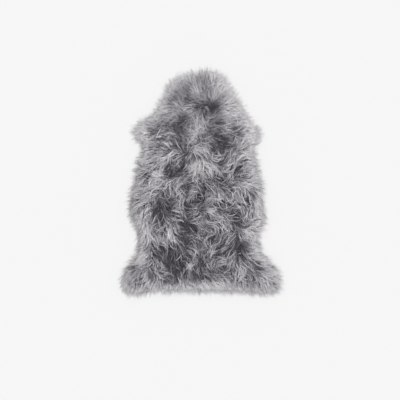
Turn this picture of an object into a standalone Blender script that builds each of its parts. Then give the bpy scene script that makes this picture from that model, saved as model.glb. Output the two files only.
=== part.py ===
"""A sheepskin rug made from one whole pelt, dyed grey, lying flat on the floor with its wool up.

Two pieces make it: the tanned hide, a thin leather sheet cut to the animal's outline, and the fleece that
stands on it, a lumpy slab of long wool with pointed locks all round its rim. The locks hang over the hide's
edge, and the lower ones lie level on the floor.

Metres, +Z up, +Y towards the neck end. The origin is on the floor, at the middle of the rug's box.
"""

import math
from collections import namedtuple
from random import Random

import bmesh
import bpy
from mathutils import Vector, noise
from mathutils.geometry import delaunay_2d_cdt

MM = 0.001

# Driving dimensions, in millimetres.
HIDE_THICKNESS = 2.0
HIDE_INSET = 33.0  # from the wool's reach in to the hide's cut edge
SLAB_INSET = 26.0  # from the wool's reach in to the slab's wall
SOLID_GAP = 0.3  # between the hide and the fleece
PILE_HEIGHT = 50.0  # of the wool away from the rim, between its tufts
RIM_HEIGHT = 26.0  # of the slab's wall, where the wool falls away
RIM_SLOPE = 85.0  # the width over which the pile rises from the rim to its full height
FOLD_SLOPE = 34.0  # the width over which the named tufts and hollows come to their full rise
RIM_ROUNDNESS = 0.8  # under 1 fills out the shoulder of that slope
LOCKS_ROUND = 140  # rim locks in each of the two rows
TUFT_SPACING = 13.2  # between the points of the wool's surface, a third of which are tuft tips
TUFT_STRAY = 4.0  # how far a point may lie from its even place
TUFT_RISE = 8.0  # the most that a tuft's tip rises above the wool round it
TUFT_FREE = 8.2  # the least that a point lies inside the slab's wall
LUMP_RISE = 7.0  # of the soft unevenness between the named tufts
LUMP_SIZE = 46.0
RIM_LUMP_RISE = 4.0  # of the same unevenness along the slab's wall

# The reach of the wool, from the neck end to the tail end, in millimetres: a point on the rug's left side
# and one on its right for each landmark of the pelt.
Landmark = namedtuple("Landmark", "name left_x left_y right_x right_y")
OUTLINE = [
    Landmark("crown", -18, 453, 42, 461),
    Landmark("temple", -87, 436, 90, 444),
    Landmark("cheek", -134, 402, 119, 409),
    Landmark("jaw", -156, 357, 145, 367),
    Landmark("throat", -179, 316, 167, 328),
    Landmark("neck", -202, 277, 189, 291),
    Landmark("shoulder", -235, 259, 211, 253),
    Landmark("foreleg_front", -271, 238, 242, 229),
    Landmark("foreleg_end", -285, 196, 254, 193),
    Landmark("foreleg_back", -266, 161, 245, 158),
    Landmark("armpit", -241, 142, 229, 135),
    Landmark("chest", -254, 104, 234, 104),
    Landmark("ribs", -271, 46, 245, 56),
    Landmark("midriff", -278, 0, 259, 14),
    Landmark("belly_front", -291, -50, 264, -36),
    Landmark("belly", -298, -96, 269, -92),
    Landmark("belly_back", -283, -155, 269, -146),
    Landmark("flank", -264, -211, 258, -201),
    Landmark("waist", -259, -247, 246, -242),
    Landmark("thigh", -270, -288, 258, -276),
    Landmark("shank", -302, -322, 289, -309),
    Landmark("hock", -326, -361, 318, -337),
    Landmark("hind_foot", -330, -406, 332, -381),
    Landmark("foot_corner", -315, -451, 330, -438),
    Landmark("foot_end", -252, -463, 286, -461),
    Landmark("rump", -188, -451, 190, -455),
    Landmark("tail", -62, -451, 62, -452),
]

# The large tufts and hollows of the wool: where each lies, its half length and half width, the turn of its
# length from +X, and how far it rises above or sinks below the pile. Millimetres and degrees.
Fold = namedtuple("Fold", "name x y along across turn rise")
FOLDS = [
    Fold("crown_hollow", 14, 408, 30, 14, 10, -6),
    Fold("crown_right_tuft", 60, 376, 42, 28, 60, 7),
    Fold("brow_tuft", -14, 368, 44, 32, 100, 7),
    Fold("temple_hollow", -94, 364, 66, 30, 118, -9),
    Fold("poll_hollow", 32, 302, 50, 30, -10, -17),
    Fold("cheek_tuft", 116, 292, 58, 38, 20, 10),
    Fold("throat_tuft", -78, 294, 62, 30, -12, 7),
    Fold("nape_tuft", -22, 218, 60, 30, 84, 13),
    Fold("nape_left_hollow", -94, 226, 52, 28, 72, -14),
    Fold("foreleg_left_tuft", -252, 206, 34, 26, 0, 6),
    Fold("foreleg_left_hollow", -182, 212, 36, 26, 20, -8),
    Fold("shoulder_left_tuft", -150, 160, 44, 24, 25, 4),
    Fold("shoulder_right_tuft", 106, 216, 36, 22, -25, 6),
    Fold("foreleg_right_hollow", 142, 206, 26, 28, 0, -8),
    Fold("foreleg_right_tuft", 218, 206, 30, 28, 0, 6),
    Fold("shoulder_right_hollow", 88, 164, 66, 27, 105, -16),
    Fold("spine_left_hollow", -74, 132, 60, 17, 92, -11),
    Fold("withers_tuft", 8, 146, 36, 28, 10, 6),
    Fold("withers_crease", -10, 104, 50, 9, 3, -8),
    Fold("ribs_left_tuft", -140, 102, 58, 28, 18, 9),
    Fold("saddle_left_tuft", -14, 62, 52, 34, 35, 15),
    Fold("saddle_right_tuft", 52, 54, 44, 24, -50, 14),
    Fold("ribs_left_hollow", -98, 44, 58, 22, -6, -18),
    Fold("side_left_hollow", -222, 36, 30, 24, 0, -8),
    Fold("side_left_tuft", -176, 14, 54, 30, 70, 10),
    Fold("ribs_right_hollow", 156, 42, 46, 20, 8, -12),
    Fold("midriff_right_hollow", 92, 2, 34, 18, -10, -13),
    Fold("loin_left_tuft", -96, -18, 30, 22, 60, 5),
    Fold("loin_left_crease", -52, -30, 36, 11, 95, -9),
    Fold("loin_tuft", -18, -28, 26, 18, -20, 6),
    Fold("loin_crease", 15, -34, 44, 12, 100, -10),
    Fold("loin_right_tuft", 68, -52, 40, 32, -45, 9),
    Fold("flank_left_tuft", -212, -48, 40, 24, -10, 7),
    Fold("belly_left_tuft", -222, -124, 44, 20, 90, 5),
    Fold("belly_left_hollow", -148, -112, 60, 40, 70, -17),
    Fold("whirl_left_tuft", -88, -98, 38, 14, 80, 6),
    Fold("navel_hollow", -46, -84, 42, 17, 100, -12),
    Fold("navel_crease", 12, -84, 32, 10, 100, -7),
    Fold("navel_right_tuft", 42, -104, 42, 22, -10, 6),
    Fold("belly_right_tuft", 140, -58, 40, 28, 100, 7),
    Fold("belly_right_hollow", 202, -68, 44, 14, 95, -7),
    Fold("side_right_crease", 146, -140, 70, 18, 90, -13),
    Fold("flank_right_tuft", 226, -150, 42, 20, 90, 6),
    Fold("croup_left_hollow", -58, -176, 48, 18, -12, -16),
    Fold("croup_tuft", 24, -160, 32, 20, 0, 6),
    Fold("croup_right_tuft", 94, -168, 44, 20, 95, 10),
    Fold("hip_left_tuft", -124, -192, 58, 32, 125, 14),
    Fold("hip_crease", -62, -236, 40, 22, 105, -14),
    Fold("back_tuft", -18, -214, 32, 16, -20, 5),
    Fold("back_right_hollow", 62, -220, 46, 18, 5, -10),
    Fold("dock_tuft", 36, -260, 32, 20, 20, 8),
    Fold("thigh_left_hollow", -142, -288, 78, 36, -40, -19),
    Fold("thigh_left_depth", -106, -328, 34, 26, 0, -8),
    Fold("thigh_right_hollow", 154, -264, 42, 36, 0, -18),
    Fold("dock_left_tuft", -38, -324, 34, 16, 80, 7),
    Fold("dock_hollow", 4, -312, 30, 24, 60, -12),
    Fold("rump_right_tuft", 106, -304, 44, 16, 25, 7),
    Fold("rump_right_hollow", 88, -350, 34, 18, 20, -9),
    Fold("tail_hollow", 40, -388, 34, 18, 0, -9),
    Fold("tail_right_hollow", 112, -390, 30, 16, 0, -6),
    Fold("rump_hollow", -22, -372, 36, 22, 0, -11),
    Fold("rump_left_hollow", -98, -378, 30, 18, 0, -9),
    Fold("shank_left_tuft", -166, -346, 38, 24, -30, 7),
    Fold("shank_right_tuft", 168, -352, 44, 34, 60, 6),
    Fold("foot_left_hollow", -280, -350, 34, 24, 70, -10),
    Fold("foot_left_crease", -192, -386, 32, 12, 45, -9),
    Fold("foot_right_hollow", 222, -328, 28, 18, -30, -8),
]

# The two rows of rim locks, from the bottom up. At each of the stations along a lock, from its root to its
# tip, the height of its middle and half its own height. The lower row lies level on the floor.
LockRow = namedtuple("LockRow", "shortest longest middles halves")
LOCK_STATIONS = (0.42, 0.74)  # shares of a lock's length, between its root and its pointed tip
LOCK_WIDTHS = (0.66, 0.36)  # of the root's width, at those stations
WALL_SPLIT = 12.6  # the height at which the upper row's roots begin
LOCK_ROWS = [
    LockRow(20.0, 33.0, (4.4, 2.6, 0.0), (4.4, 2.6)),
    LockRow(15.0, 27.0, (16.8, 14.0, 10.0), (3.8, 2.2)),
]
LOCK_SWAY = 11.0  # the most degrees that a lock leans to one side of straight out

CURVE_STEP = 3.0  # between the points of a finely drawn outline
CORNER_PASSES = 4  # of smoothing along an inset edge, whose corners stay rounder than the wool's
CORNER_SLACK = 0.985  # a point nearer the outline than this share of the inset belongs to a corner's loop
FOLD_SOFTNESS = 1.1  # how fast a tuft or hollow fades towards its edge
CHANCE_SEED = 7
SHARP_ANGLE = 50.0  # degrees

SUEDE_GREY = (0.46, 0.43, 0.40, 1.0)
WOOL_GREY = (0.27, 0.26, 0.275, 1.0)


def clear_scene():
    for obj in list(bpy.data.objects):
        bpy.data.objects.remove(obj)


def material(name, colour, roughness):
    made = bpy.data.materials.new(name)
    made.use_nodes = True
    shader = made.node_tree.nodes["Principled BSDF"]
    shader.inputs["Base Color"].default_value = colour
    shader.inputs["Roughness"].default_value = roughness
    shader.inputs["Metallic"].default_value = 0.0
    made.diffuse_color = colour
    return made


def outline_points():
    """The wool's reach as a closed ring of landmarks, counter-clockwise seen from above."""
    left_side = [Vector((row.left_x, row.left_y)) for row in OUTLINE]
    right_side = [Vector((row.right_x, row.right_y)) for row in OUTLINE]
    return left_side + right_side[::-1]


def smooth_ring(points, steps=24):
    """A closed curve through the points, bent as a centripetal spline is."""
    ring = []
    count = len(points)
    for i in range(count):
        p0, p1, p2, p3 = (points[(i + k) % count] for k in (-1, 0, 1, 2))
        t0 = 0.0
        t1 = t0 + math.sqrt((p1 - p0).length)
        t2 = t1 + math.sqrt((p2 - p1).length)
        t3 = t2 + math.sqrt((p3 - p2).length)
        for step in range(steps):
            t = t1 + (t2 - t1) * step / steps
            a1 = p0.lerp(p1, (t - t0) / (t1 - t0))
            a2 = p1.lerp(p2, (t - t1) / (t2 - t1))
            a3 = p2.lerp(p3, (t - t2) / (t3 - t2))
            b1 = a1.lerp(a2, (t - t0) / (t2 - t0))
            b2 = a2.lerp(a3, (t - t1) / (t3 - t1))
            ring.append(b1.lerp(b2, (t - t1) / (t2 - t1)))
    return ring


def evenly_spaced(ring, count):
    """The same closed line with count points an equal way apart."""
    lengths = [(ring[(i + 1) % len(ring)] - p).length for i, p in enumerate(ring)]
    pitch = sum(lengths) / count
    spaced = []
    walked = 0.0
    for i, point in enumerate(ring):
        after = ring[(i + 1) % len(ring)]
        while len(spaced) < count and len(spaced) * pitch <= walked + lengths[i]:
            share = (len(spaced) * pitch - walked) / max(lengths[i], 1e-9)
            spaced.append(point.lerp(after, min(max(share, 0.0), 1.0)))
        walked += lengths[i]
    return spaced


def ring_length(ring):
    return sum((ring[(i + 1) % len(ring)] - p).length for i, p in enumerate(ring))


def outward(ring, i):
    """The direction straight out of a counter-clockwise ring at its point i."""
    along = ring[(i + 1) % len(ring)] - ring[i - 1]
    return Vector((along.y, -along.x)).normalized()


def way_to_ring(point, ring):
    return min((point - other).length for other in ring)


def inset_ring(ring, depth, count):
    """The ring moved inwards by depth. The loops that this makes in tight corners are dropped."""
    fine = evenly_spaced(ring, int(ring_length(ring) / CURVE_STEP))
    moved = [p - outward(fine, i) * depth for i, p in enumerate(fine)]
    kept = [p for p in moved if way_to_ring(p, fine) > depth * CORNER_SLACK]
    for _ in range(CORNER_PASSES):
        last = len(kept)
        kept = [(kept[i - 1] + 2 * p + kept[(i + 1) % last]) / 4 for i, p in enumerate(kept)]
    return evenly_spaced(kept, count)


def inside(point, ring):
    """True if the point lies within the ring."""
    crossings = 0
    for i, a in enumerate(ring):
        b = ring[(i + 1) % len(ring)]
        if (a.y > point.y) != (b.y > point.y):
            crossings += point.x < a.x + (point.y - a.y) * (b.x - a.x) / (b.y - a.y)
    return crossings % 2 == 1


def fold_rise(point):
    """How far the named tufts and hollows lift or sink the wool at a point."""
    rise = 0.0
    for fold in FOLDS:
        away = point - Vector((fold.x, fold.y))
        turn = math.radians(fold.turn)
        along = (away.x * math.cos(turn) + away.y * math.sin(turn)) / fold.along
        across = (away.y * math.cos(turn) - away.x * math.sin(turn)) / fold.across
        rise += fold.rise * math.exp(-FOLD_SOFTNESS * (along * along + across * across))
    return rise


def pile_height(point, rim_way):
    """The height of the wool over a point, which lies rim_way inside the slab's wall."""
    share = min(rim_way / RIM_SLOPE, 1.0)
    body = math.sin(share * math.pi / 2) ** RIM_ROUNDNESS
    lump = noise.noise(Vector((point.x, point.y, 0.0)) / LUMP_SIZE)
    rim = RIM_HEIGHT + (1.0 - body) * RIM_LUMP_RISE * lump
    folds = min(rim_way / FOLD_SLOPE, 1.0) * fold_rise(point)
    return rim + body * (PILE_HEIGHT - RIM_HEIGHT + LUMP_RISE * lump) + folds


def tuft_points(ring, chance):
    """Points inside the ring on a loose triangular lattice, each with how far it stands out as a tuft's tip.

    One point in three is a tip, so that six low points lie round each.
    """
    row_pitch = TUFT_SPACING * math.sqrt(3) / 2
    low_x, high_x = min(p.x for p in ring), max(p.x for p in ring)
    low_y, high_y = min(p.y for p in ring), max(p.y for p in ring)
    rows = int((high_y - low_y) / row_pitch) + 1
    columns = int((high_x - low_x) / TUFT_SPACING) + 2
    found = []
    for row in range(rows):
        for column in range(-1, columns):
            place = Vector((low_x + (column + 0.5 * (row % 2)) * TUFT_SPACING, low_y + row * row_pitch))
            place.x += chance.uniform(-TUFT_STRAY, TUFT_STRAY)
            place.y += chance.uniform(-TUFT_STRAY, TUFT_STRAY)
            is_tip = (column - row // 2 + 2 * row) % 3 == 0
            rise = chance.uniform(0.0, TUFT_RISE) if is_tip else 0.0
            if inside(place, ring) and way_to_ring(place, ring) > TUFT_FREE:
                found.append((place, rise))
    return found


def add_wool_surface(shape, ring, chance):
    """Adds the slab's top over the ring, with its tufts, and returns the rim's vertices in order."""
    tufts = tuft_points(ring, chance)
    plan = list(ring) + [place for place, _ in tufts]
    rises = [0.0] * len(ring) + [rise for _, rise in tufts]
    edges = [(i, (i + 1) % len(ring)) for i in range(len(ring))]
    places, _, faces, _, _, _ = delaunay_2d_cdt(plan, edges, [], 1, 1e-6)
    verts = []
    for i, (place, rise) in enumerate(zip(places, rises)):
        rim_way = 0.0 if i < len(ring) else way_to_ring(place, ring)
        height = pile_height(place, rim_way) + rise
        verts.append(shape.verts.new((place.x * MM, place.y * MM, height * MM)))
    for face in faces:
        shape.faces.new([verts[i] for i in face])
    return verts[: len(ring)]


def wall_below(shape, ring, verts, height):
    """Adds one row of wall faces from a loop of vertices down to a height. Returns the faces and new loop."""
    lower = [shape.verts.new((p.x * MM, p.y * MM, height * MM)) for p in ring]
    faces = []
    for i in range(len(ring)):
        after = (i + 1) % len(ring)
        faces.append(shape.faces.new([verts[i], lower[i], lower[after], verts[after]]))
    return faces, lower


def room_at_tips(ring, i):
    """How wide apart the tips of the lock between ring points i and i + 1 would be, as a share of its root.

    It is under 1 in a hollow of the outline, where locks that point straight out crowd together.
    """
    after = (i + 1) % len(ring)
    root = ring[after] - ring[i]
    tips = root + (outward(ring, after) - outward(ring, i)) * SLAB_INSET
    return tips.dot(root) / root.length_squared


def grow_lock(shape, face, row, room, chance):
    """Draws one wall face out into a pointed lock: two tapered lengths and a tip."""
    reach = chance.uniform(row.shortest, row.longest) * min(1.0, room) * MM
    turn = math.radians(chance.uniform(-LOCK_SWAY, LOCK_SWAY))
    root = face.calc_center_median()
    root_width = (face.verts[0].co - face.verts[3].co).length
    straight = Vector((face.normal.x, face.normal.y, 0.0)).normalized()
    way = Vector(
        (
            straight.x * math.cos(turn) - straight.y * math.sin(turn),
            straight.x * math.sin(turn) + straight.y * math.cos(turn),
            0.0,
        )
    )
    side = Vector((-straight.y, straight.x, 0.0))
    for station, width, middle, half in zip(LOCK_STATIONS, LOCK_WIDTHS, row.middles, row.halves):
        face = bmesh.ops.extrude_discrete_faces(shape, faces=[face])["faces"][0]
        centre = root + way * reach * station
        centre.z = middle * MM
        for vert, (across, up) in zip(face.verts, ((-1, 1), (-1, -1), (1, -1), (1, 1))):
            vert.co = centre + side * (across * width * root_width / 2)
            vert.co.z += up * half * MM
    tip = bmesh.ops.poke(shape, faces=[face])["verts"][0]
    tip.co = root + way * reach
    tip.co.z = row.middles[-1] * MM


def fleece_mesh(wool_ring):
    """The slab of wool with its two rows of rim locks, as one closed body."""
    chance = Random(CHANCE_SEED)
    ring = inset_ring(wool_ring, SLAB_INSET, LOCKS_ROUND)
    bottom = HIDE_THICKNESS + SOLID_GAP
    shape = bmesh.new()
    rim = add_wool_surface(shape, ring, chance)
    upper_faces, split_loop = wall_below(shape, ring, rim, WALL_SPLIT)
    lower_faces, bottom_loop = wall_below(shape, ring, split_loop, bottom)
    shape.faces.new(bottom_loop[::-1])
    shape.normal_update()
    for row, faces in zip(LOCK_ROWS, (lower_faces, upper_faces)):
        for i, face in enumerate(faces):
            grow_lock(shape, face, row, room_at_tips(ring, i), chance)
    return finished(shape, "fleece")


def hide_mesh(wool_ring):
    """The leather sheet, flat on the floor."""
    ring = inset_ring(wool_ring, HIDE_INSET, LOCKS_ROUND)
    shape = bmesh.new()
    bottom = shape.faces.new([shape.verts.new((p.x * MM, p.y * MM, 0.0)) for p in ring])
    raised = bmesh.ops.extrude_face_region(shape, geom=[bottom], use_keep_orig=True)
    lifted = [item for item in raised["geom"] if isinstance(item, bmesh.types.BMVert)]
    bmesh.ops.translate(shape, verts=lifted, vec=(0.0, 0.0, HIDE_THICKNESS * MM))
    return finished(shape, "hide")


def finished(shape, name):
    """The shape as a mesh of triangles with its faces pointing out."""
    bmesh.ops.triangulate(shape, faces=shape.faces)
    bmesh.ops.recalc_face_normals(shape, faces=shape.faces)
    mesh = bpy.data.meshes.new(name)
    shape.to_mesh(mesh)
    shape.free()
    mesh.shade_smooth()
    mesh.set_sharp_from_angle(angle=math.radians(SHARP_ANGLE))
    return mesh


def add_piece(mesh, made_of):
    mesh.materials.append(made_of)
    piece = bpy.data.objects.new(mesh.name, mesh)
    bpy.context.scene.collection.objects.link(piece)
    return piece


def box_middle(meshes):
    """The middle, seen from above, of the box round all the meshes."""
    xs = [v.co.x for mesh in meshes for v in mesh.vertices]
    ys = [v.co.y for mesh in meshes for v in mesh.vertices]
    return Vector(((min(xs) + max(xs)) / 2, (min(ys) + max(ys)) / 2, 0.0))


def build_rug():
    clear_scene()
    wool_ring = smooth_ring(outline_points())
    hide = add_piece(hide_mesh(wool_ring), material("suede", SUEDE_GREY, 0.85))
    fleece = add_piece(fleece_mesh(wool_ring), material("wool", WOOL_GREY, 0.75))
    middle = box_middle([hide.data, fleece.data])
    for piece in (hide, fleece):
        piece.location = -middle


build_rug()
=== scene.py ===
"""The looks of a sheepskin rug: one grey long-wool pelt that lies flat, seen from straight above.

The frame gives the hide's cut edge and how high the fleece stands over each point. The hide is a suede sheet
of that cut. An undercoat, coloured dark as painted shade, fills the lower part of the pile, and over it lie
the wisps of the long wool. A few wisps make a lock, and neighbouring locks lean together into tufts. The comb
table says which way the wool lies, and the table of shades where painted light makes it paler and painted
shade darker than the wool round it. The wool's colour also holds painted shade over hollows, between the rim
and the middle, deep in the pile and at the roots, painted light along the rim, and both on the tufts.
"""

import functools
import math
from collections import namedtuple

import bmesh
import bpy
import numpy as np
from bpy.props import FloatProperty, FloatVectorProperty, PointerProperty
from bpy.types import Operator, Panel, PropertyGroup
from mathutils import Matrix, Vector
from mathutils.bvhtree import BVHTree
from mathutils.kdtree import KDTree


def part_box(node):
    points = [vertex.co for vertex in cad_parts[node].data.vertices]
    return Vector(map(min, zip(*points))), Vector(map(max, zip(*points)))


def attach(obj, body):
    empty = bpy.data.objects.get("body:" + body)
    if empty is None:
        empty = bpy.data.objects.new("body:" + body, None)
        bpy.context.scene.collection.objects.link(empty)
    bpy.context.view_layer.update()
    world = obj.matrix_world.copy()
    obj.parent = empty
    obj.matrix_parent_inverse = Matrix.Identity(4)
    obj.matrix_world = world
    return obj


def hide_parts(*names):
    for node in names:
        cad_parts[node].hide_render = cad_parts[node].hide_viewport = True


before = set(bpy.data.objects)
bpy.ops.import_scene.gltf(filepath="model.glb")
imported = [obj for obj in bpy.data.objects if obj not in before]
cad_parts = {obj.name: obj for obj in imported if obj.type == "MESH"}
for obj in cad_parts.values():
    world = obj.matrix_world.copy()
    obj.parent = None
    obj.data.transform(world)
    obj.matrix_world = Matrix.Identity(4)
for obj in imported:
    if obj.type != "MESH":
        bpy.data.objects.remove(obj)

bl_info = {
    "name": "Sheepskin Rug",
    "version": (1, 0, 0),
    "blender": (4, 5, 0),
    "location": "3D View > Sidebar > Sheepskin",
    "description": "Dresses a sheepskin rug with its suede hide, its undercoat and its long wool",
    "category": "Object",
}

MM = 0.001
TINY = 1e-9  # keeps a divisor above 0
BODY = "root"  # the frame's body, which every piece rides on

HIDE_LOW, HIDE_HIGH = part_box("hide")
FLEECE_LOW, FLEECE_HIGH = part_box("fleece")
HIDE_TOP = HIDE_HIGH.z
OVERHANG = ((FLEECE_HIGH.x - FLEECE_LOW.x) - (HIDE_HIGH.x - HIDE_LOW.x)) / 2


def table(row_name, columns, **rows):
    """Named rows with named columns."""
    row_type = namedtuple(row_name, columns)
    return {name: row_type(*row) for name, row in rows.items()}


# The way the wool lies, in millimetres and degrees: the middle of each patch, and the way its tips point,
# turned from +X, to the right, towards +Y, the neck end.
COMB = table(
    "Patch",
    "x y heading",
    brow_left=(-75, 372, 124),
    brow_edge=(54, 376, 100),
    cowlick=(72, 384, 42),
    poll=(8, 326, 120),
    poll_right=(46, 330, 96),
    ear_right=(78, 326, 24),
    throat_left=(-84, 308, 138),
    throat=(-58, 292, 132),
    throat_edge=(-30, 298, 150),
    cheek_left=(-122, 306, 168),
    cheek_left_low=(-122, 281, 210),
    parting_left=(-19, 276, 268),
    parting=(-4, 266, 252),
    nape_top_right=(14, 262, 280),
    nape_left=(-38, 228, 238),
    nape=(0, 238, 254),
    nape_low=(-20, 206, 186),
    nape_edge=(-32, 185, 163),
    nape_right=(12, 212, 214),
    hook_root=(30, 222, 8),
    hook=(43, 238, 72),
    hook_bend=(60, 257, 44),
    neck_right_low=(190, 234, 348),
    shoulder_left_top=(-196, 232, 176),
    shoulder_left_fork=(-158, 228, 254),
    shoulder_left=(-135, 205, 176),
    shoulder_left_low=(-165, 190, 220),
    scapula_far=(-140, 172, 214),
    withers_far_left=(-92, 218, 122),
    withers_left=(-62, 206, 124),
    spine_left_top=(-62, 172, 122),
    spine_left=(-76, 132, 96),
    scapula_up=(-107, 154, 116),
    scapula_left=(-136, 140, 150),
    scapula_low=(-118, 107, 222),
    shoulder_right_top=(150, 224, 40),
    shoulder_right=(105, 212, 338),
    shoulder_right_low=(94, 188, 310),
    shoulder_right_edge=(128, 178, 320),
    sweep_root=(122, 100, 92),
    sweep=(126, 134, 74),
    sweep_bend=(142, 162, 54),
    chest_right_low=(152, 112, 42),
    ribs_right_top=(184, 100, 6),
    spine_right_top=(50, 190, 18),
    spine_right_low=(62, 128, 300),
    withers_right=(36, 178, 4),
    withers=(4, 140, 338),
    withers_left_low=(-26, 142, 325),
    withers_low=(40, 112, 312),
    withers_middle=(-10, 114, 334),
    back_left_top=(-52, 112, 240),
    ribs_left_top=(-110, 90, 258),
    saddle_far_right=(50, 64, 306),
    saddle_edge=(66, 46, 278),
    saddle_crest=(72, 90, 70),
    saddle=(-14, 66, 262),
    saddle_right=(6, 32, 322),
    saddle_left=(-34, 52, 226),
    ribs_left=(-160, 90, 222),
    side_left_in=(-155, 52, 240),
    side_left_rim=(-250, 45, 178),
    side_left_out=(-216, 10, 230),
    hollow_left=(-116, 42, 280),
    hollow_left_low=(-130, 27, 162),
    midriff_left_low=(-158, -28, 176),
    flank_left=(-190, -43, 202),
    loin_left=(-88, 0, 234),
    lock_middle=(-92, -38, 292),
    lock=(-82, -84, 286),
    lock_fork=(-77, -130, 276),
    lock_out=(-58, -124, 312),
    belly_left_arc=(-128, -62, 322),
    belly_left_in=(-122, -32, 284),
    belly_left=(-124, -104, 0),
    belly_left_out=(-165, -88, 268),
    belly_left_tail=(-182, -114, 228),
    belly_left_low=(-212, -138, 270),
    whorl_top=(-30, -20, 182),
    whorl_top_left=(-58, -12, 205),
    whorl_top_right=(-10, -33, 144),
    whorl_left=(-68, -62, 236),
    whorl_middle=(-28, -64, 230),
    whorl_low=(-44, -106, 4),
    whorl_low_right=(0, -92, 22),
    whorl_right=(12, -74, 64),
    whorl_right_top=(18, -40, 128),
    whorl_far_low=(-28, -132, 52),
    loin_right_top=(38, -18, 332),
    loin_right=(42, -50, 322),
    loin_right_low=(66, -62, 274),
    loin_far_right=(82, -36, 320),
    navel_right_top=(24, -84, 94),
    navel_right=(42, -103, 344),
    navel_far_right=(72, -106, 356),
    midriff_edge=(119, 14, 74),
    midriff_lock=(118, -12, 22),
    midriff_lock_tip=(150, 2, 8),
    ribs_right=(100, 68, 42),
    ribs_right_low=(200, 46, 44),
    side_right=(176, -2, 350),
    side_right_arc=(232, -12, 346),
    midriff_fall_left=(112, -50, 236),
    midriff_fall=(137, -36, 260),
    midriff_fall_right=(153, -36, 270),
    belly_right_top=(130, -68, 318),
    belly_right_low=(170, -112, 306),
    belly_hole_left=(107, -82, 280),
    belly_hole_low=(130, -122, 30),
    belly_edge_top=(212, -50, 262),
    belly_edge_low=(210, -108, 236),
    belly_edge_tail=(194, -132, 222),
    flank_right_rim=(226, -132, 320),
    croup_right_top=(98, -120, 304),
    croup_right=(92, -160, 300),
    croup_right_low=(76, -190, 276),
    croup_top=(8, -140, 250),
    croup=(12, -165, 320),
    croup_low=(38, -184, 330),
    croup_middle=(42, -166, 36),
    back_right_top=(34, -203, 197),
    back_right=(34, -220, 182),
    back_right_bowl=(32, -236, 300),
    back_right_edge=(106, -212, 224),
    hip_left_top=(-116, -160, 298),
    hip_left_low=(-104, -226, 314),
    hip_left_mid=(-142, -182, 262),
    hip_left_out=(-214, -166, 306),
    hip_left_arc=(-180, -215, 314),
    hip_left_rim=(-252, -160, 196),
    waist_left=(-222, -226, 264),
    waist_left_rim=(-242, -264, 190),
    crease_left=(-60, -226, 316),
    tuft_root=(-42, -208, 0),
    tuft_tip_top=(-12, -206, 0),
    tuft_tip=(-10, -220, 318),
    back_left_high=(-48, -190, 310),
    dock_left_line=(-75, -265, 312),
    dock_left_fall=(-86, -277, 262),
    rump_left_top=(-115, -256, 272),
    dock_left=(-50, -250, 30),
    dock_top=(-14, -264, 276),
    dock_fall_right=(48, -262, 278),
    dock_edge=(14, -262, 236),
    rump_right_line=(60, -284, 228),
    rump_right_up=(95, -262, 202),
    rump_right_far=(115, -275, 245),
    rump_right=(95, -310, 222),
    rump_right_low=(60, -330, 236),
    thigh_right_top=(150, -275, 270),
    hip_right_in=(200, -160, 32),
    waist_right_in=(188, -226, 300),
    waist_right_low=(214, -292, 356),
    thigh_right=(182, -322, 312),
    thigh_right_low=(172, -352, 258),
    shank_right_in=(158, -378, 254),
    shank_right=(156, -336, 300),
    foot_right_in=(240, -345, 334),
    foot_right_inner=(222, -400, 302),
    shank_right_low=(152, -408, 298),
    tail_right_top=(62, -382, 340),
    tail=(28, -378, 316),
    thigh_left_top=(-182, -276, 312),
    thigh_left=(-174, -304, 316),
    thigh_left_hollow=(-130, -320, 306),
    shank_left_arc=(-196, -314, 186),
    shank_left_low=(-208, -336, 220),
    shank_left_in=(-182, -345, 330),
    shank_left_edge=(-150, -335, 356),
    shank_left_bowl=(-142, -390, 340),
    thigh_left_low=(-126, -360, 340),
    foot_left_in=(-200, -394, 226),
    foot_left_mid=(-262, -390, 262),
    tail_left_mid=(-148, -420, 216),
    tail_left=(-110, -410, 222),
    tail_left_fall=(-78, -376, 254),
    dock_left_top=(-52, -322, 292),
    dock_left_right=(-32, -330, 222),
    tail_hole=(-28, -372, 300),
    tail_left_edge=(-45, -396, 312),
)
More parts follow.
